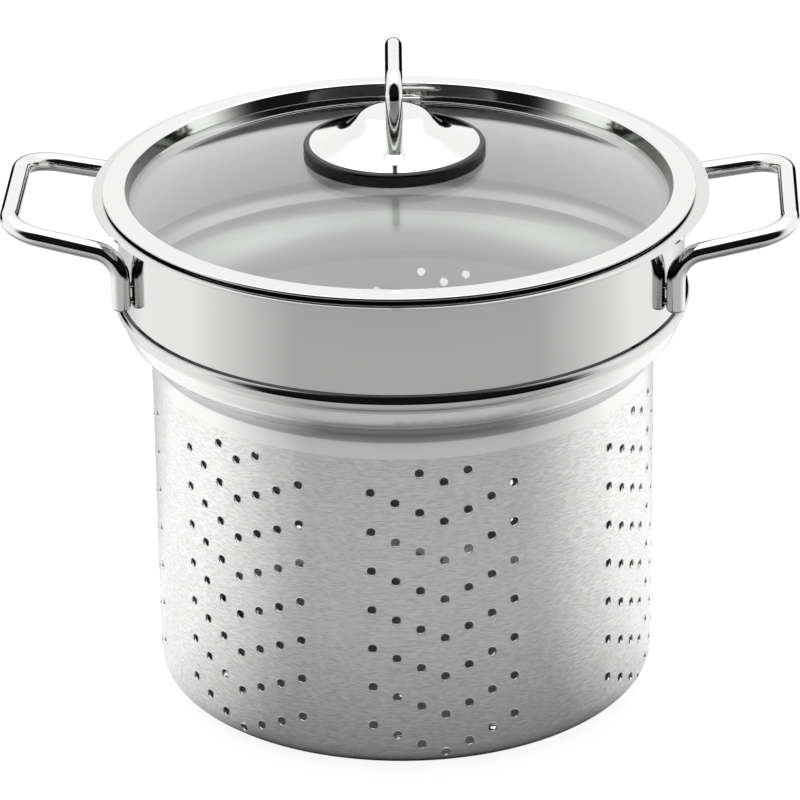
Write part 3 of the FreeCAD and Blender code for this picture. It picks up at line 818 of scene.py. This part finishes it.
@dataclass
class Basket:
    """The perforated basket: sizes of its wall and holes, in millimetres and degrees."""

    sheet: float = 0.8
    foot_radius: float = 107.1
    foot_corner: float = 10.0
    wall_radius: float = 107.6
    shoulder_foot: float = 155.4
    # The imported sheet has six-sided holes of a 4 mm hole's area: the clear opening lies inside them
    # and the lip covers their corners
    clear_opening: float = 3.8
    lip: float = 0.42
    wall_rise: float = 0.12
    base_rise: float = 0.04
    group_angles: tuple[float, ...] = (-91.3, -38.5, 10.9, 71.9, 121.8, 172.0, 220.1)
    columns_per_group: int = 7
    column_step: float = 5.45
    row_pitch: float = 18.0
    row_steps: int = 4
    lowest_hole: float = 7.3
    highest_hole: float = 138.0
    # The base has one hole in its middle, and each ring has this many more than the one inside it
    base_holes_per_ring: int = 6
    base_rings: int = 4
    base_ring_pitch: float = 20.0
    round_sides: int = 14
    edge_roughness: float = 0.16

    def wall_at(self, height: float) -> tuple[float, float]:
        """The outer radius of the wall at a height, and how far it leans down there, in radians."""
        slope = (self.wall_radius - self.foot_radius) / self.shoulder_foot
        if height >= self.foot_corner:
            return self.foot_radius + slope * height, -math.atan(slope)
        middle = self.foot_radius - self.foot_corner
        below = self.foot_corner - height
        return middle + math.sqrt(self.foot_corner ** 2 - below ** 2), -math.asin(below / self.foot_corner)

    def wall_places(self) -> list[tuple[Vector, Vector]]:
        """The middle of each hole on the outside of the wall, and the direction that it faces."""
        places = []
        middle = self.columns_per_group // 2
        for group_angle in self.group_angles:
            for column in range(-middle, middle + 1):
                angle = math.radians(group_angle + column * self.column_step)
                height = self.lowest_hole + abs(column) * self.row_pitch / self.row_steps
                while height <= self.highest_hole:
                    radius, lean = self.wall_at(height)
                    outward = Vector((math.sin(angle), -math.cos(angle), 0))
                    facing = outward * math.cos(lean) + Vector((0, 0, math.sin(lean)))
                    places.append(((outward * radius + Vector((0, 0, height))) * MM, facing))
                    height += self.row_pitch
        return places

    def base_places(self) -> list[tuple[Vector, Vector]]:
        """The middle of each drain hole on the under side of the base, and the direction that it faces."""
        places = []
        for ring in range(self.base_rings + 1):
            count = max(self.base_holes_per_ring * ring, 1)
            for index in range(count):
                angle = 2 * math.pi * index / count
                radius = ring * self.base_ring_pitch * MM
                place = Vector((radius * math.cos(angle), radius * math.sin(angle), 0))
                places.append((place, Vector((0, 0, -1))))
        return places

    def make(self) -> None:
        """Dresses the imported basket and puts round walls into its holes."""
        dress("strainer_basket", BasketSteel().make())
        edge = PolishedSteel("stainless_steel_punched_edge", roughness=self.edge_roughness).make()
        wall = PunchedEdges(self.clear_opening, self.sheet, self.lip, self.wall_rise, self.round_sides)
        base = PunchedEdges(self.clear_opening, self.sheet, self.lip, self.base_rise, self.round_sides)
        join("root", wall.make("wall_hole_edges", self.wall_places(), edge))
        join("root", base.make("base_hole_edges", self.base_places(), edge))


@dataclass
class SideHandles:
    """The two handles, bent from polished rod."""

    nodes: tuple[str, ...] = ("side_handle_left", "side_handle_right")
    # Share of the colour left by painted shade on the rods' undersides
    under_shade: float = 0.22

    def make(self) -> None:
        """Dresses both handles."""
        steel = PolishedSteel("stainless_steel_rod_buffed", under_shade=self.under_shade).make()
        for node in self.nodes:
            dress(node, steel)


@dataclass
class Lid:
    """The glass lid with its rolled rim, its vent and its knob: sizes in millimetres."""

    side_shift: float = 0.7
    flange_height: float = 222.0
    rim_sheet: float = 0.5
    rim_radius: float = 125.7
    rim_width: float = 9.6
    rim_height: float = 2.1
    rim_fall: float = 0.6
    rim_round: float = 1.0
    edge_round: float = 0.35
    slot_height: float = 1.0
    hem_width: float = 4.0
    wall_lean: float = 1.7
    channel_drop: float = 3.6
    channel_lip: float = 3.4
    glass_radius: float = 118.0
    glass_thickness: float = 4.0
    glass_fit: float = 0.1
    dome_height: float = 17.1
    rim_segments: int = 288
    corner_steps: int = 5
    plate_roughness: float = 0.06
    turned_colour: str = "c4c3bf"
    turned_roughness: float = 0.24

    def glass_at(self, radius: float, depth: float) -> float:
        """Height of the glass at a distance from its axis, at a depth under its upper face."""
        inner = self.rim_radius - self.rim_width
        drop = self.dome_height + self.channel_drop
        dome_radius = (inner ** 2 + drop ** 2) / (2 * drop)
        middle = self.flange_height + self.dome_height - dome_radius
        return middle + math.sqrt((dome_radius - depth) ** 2 - radius ** 2)

    def rim_section(self) -> list[Corner]:
        """The closed section of the rim: hem, folded edge, leaning wall and the channel round the glass."""
        top = self.flange_height + self.rim_height
        hem = self.rim_radius - self.hem_width
        slot = self.flange_height + self.slot_height
        inner = self.rim_radius - self.rim_width
        foot = inner - self.wall_lean
        channel = self.glass_radius + self.glass_fit
        lip = self.glass_radius - self.channel_lip
        under = self.glass_thickness + self.glass_fit
        outside = [
            Corner(hem, self.flange_height),
            Corner(hem, slot),
            Corner(self.rim_radius, slot, self.edge_round),
            Corner(self.rim_radius, top, self.edge_round),
            Corner(inner, top + self.rim_fall, self.rim_round),
            Corner(foot, self.glass_at(foot, 0) + self.glass_fit),
            Corner(channel, self.glass_at(channel, 0) + self.glass_fit),
            Corner(channel, self.glass_at(channel, under)),
            Corner(lip, self.glass_at(lip, under)),
        ]
        return steadied(outside + other_side(outside, self.rim_sheet)[::-1])

    def make(self) -> None:
        """Rolls the rim and dresses the lid's other pieces."""
        strip = PolishedSteel("stainless_steel_strip_rolled").make()
        section = self.rim_section()
        rolled = RolledStrip(section, self.rim_radius, self.rim_segments, self.corner_steps)
        rim = rolled.make("lid_rim_strip", -self.side_shift, strip)
        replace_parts(join("root", rim), "lid_rim")
        dress("vent_eyelet", strip)
        dress("lid_glass", ClearGlass().make())
        dress("knob_base", BlackMoulding().make())
        pressed = PolishedSteel("stainless_steel_pressed_buffed", roughness=self.plate_roughness)
        dress("knob_plate", pressed.make())
        dress("knob_loop", PolishedSteel("stainless_steel_loop_buffed").make())
        turned = PolishedSteel("steel_turned", self.turned_colour, self.turned_roughness).make()
        for node in ("knob_boss", "knob_screw", "screw_washer"):
            dress(node, turned)
        dress("screw_gasket", SoftGasket().make())


@dataclass
class PhotoCamera:
    """The camera of the photograph, as angles in degrees and lengths in metres."""

    azimuth: float = 2.16
    elevation: float = 24.278
    roll: float = -0.706
    distance: float = 2.40333
    target: tuple[float, float, float] = (-0.00142, -0.00005, 0.12222)
    sensor: float = 36.0
    lens: float = 250.93
    shift_y: float = 0.00185
    clip_start: float = 0.1
    clip_end: float = 20.0

    def make(self) -> None:
        """Sets the camera up and makes it the scene's own."""
        data = bpy.data.cameras.new("photo_camera")
        data.sensor_width = self.sensor
        data.lens = self.lens
        data.shift_y = self.shift_y
        data.clip_start = self.clip_start
        data.clip_end = self.clip_end
        camera = bpy.data.objects.new("photo_camera", data)
        turn = Matrix.Rotation(math.radians(self.azimuth), 4, "Z")
        tip = Matrix.Rotation(math.radians(90 - self.elevation), 4, "X")
        roll = Matrix.Rotation(math.radians(self.roll), 4, "Z")
        facing = turn @ tip @ roll
        back = facing.to_3x3() @ Vector((0, 0, 1))
        place = Matrix.Translation(Vector(self.target) + back * self.distance)
        camera.matrix_world = place @ facing
        bpy.context.scene.collection.objects.link(camera)
        bpy.context.scene.camera = camera


@dataclass
class Studio:
    """The table and the light: a white tent that is open, and dark, towards the camera.

    The opening is a round patch of the sky. Its edges are the share of a direction that leads to its
    middle: where it is wholly dark, and where the tent is wholly white, at the sides and overhead.
    A low gap behind the table is dark too. An "up" value is the share of a direction that leads up.
    Sizes are in metres.
    """

    table_size: float = 12.0
    table_drop: float = 0.0002
    tent_light: float = 1.1
    roof_light: float = 1.9
    roof_up: tuple[float, float] = (0.55, 0.9)
    room_light: float = 0.008
    opening_azimuth: float = 4.0
    opening_dark: float = 0.57
    opening_white: float = -0.05
    opening_white_above: float = 0.28
    opening_up: tuple[float, float] = (0.3, 0.85)
    rear_gap_up: tuple[float, float] = (0.06, 0.10)
    rear_gap_forward: tuple[float, float] = (-0.75, -0.6)

    def make(self) -> None:
        """Makes the table and the world, and keeps colours plain."""
        bpy.context.scene.view_settings.view_transform = "Standard"
        self.make_table()
        self.make_tent()

    def make_table(self) -> None:
        """The table that the basket stands on."""
        half = self.table_size / 2
        corners = [(-half, -half), (half, -half), (half, half), (-half, half)]
        mesh = bpy.data.meshes.new("studio_table")
        mesh.from_pydata([(x, y, -self.table_drop) for x, y in corners], [], [(0, 1, 2, 3)])
        mesh.materials.append(StudioFloor().make())
        table = bpy.data.objects.new("studio_table", mesh)
        bpy.context.scene.collection.objects.link(table)

    def make_tent(self) -> None:
        """The world: white for the camera, and for other rays a tent with its opening in front."""
        world = bpy.data.worlds.new("studio_tent")
        bpy.context.scene.world = world
        world.use_nodes = True
        tree = world.node_tree
        tree.nodes.clear()
        direction = add(tree, "ShaderNodeTexCoord").outputs["Generated"]
        up = add(tree, "ShaderNodeSeparateXYZ", {0: direction}).outputs[2]
        turn = math.radians(self.opening_azimuth)
        towards = {0: direction, 1: (math.sin(turn), -math.cos(turn), 0)}
        forward = add(tree, "ShaderNodeVectorMath", towards, operation="DOT_PRODUCT").outputs["Value"]
        white = ramp(tree, up, *self.opening_up, self.opening_white, self.opening_white_above)
        opening = ramp(tree, forward, white, self.opening_dark, 0.0, 1.0)
        low = ramp(tree, up, *self.rear_gap_up, 1.0, 0.0)
        behind = ramp(tree, forward, *self.rear_gap_forward, 1.0, 0.0)
        dark = math_node(tree, "MAXIMUM", opening, math_node(tree, "MULTIPLY", low, behind))
        tent = ramp(tree, up, *self.roof_up, self.tent_light, self.roof_light)
        light = ramp(tree, dark, 0.0, 1.0, tent, self.room_light)
        rays = add(tree, "ShaderNodeLightPath").outputs
        strength = ramp(tree, rays["Is Camera Ray"], 0.0, 1.0, light, 1.0)
        shader = add(tree, "ShaderNodeBackground", {0: linear(WHITE), 1: strength})
        output = add(tree, "ShaderNodeOutputWorld", {0: shader.outputs[0]})
        output.is_active_output = True


def main() -> None:
    """Builds the camera, the pieces and the studio."""
    logging.basicConfig(level=logging.INFO, format="%(name)s %(message)s")
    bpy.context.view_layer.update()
    PhotoCamera().make()
    Basket().make()
    SideHandles().make()
    Lid().make()
    Studio().make()


if __name__ == "__main__":
    main()
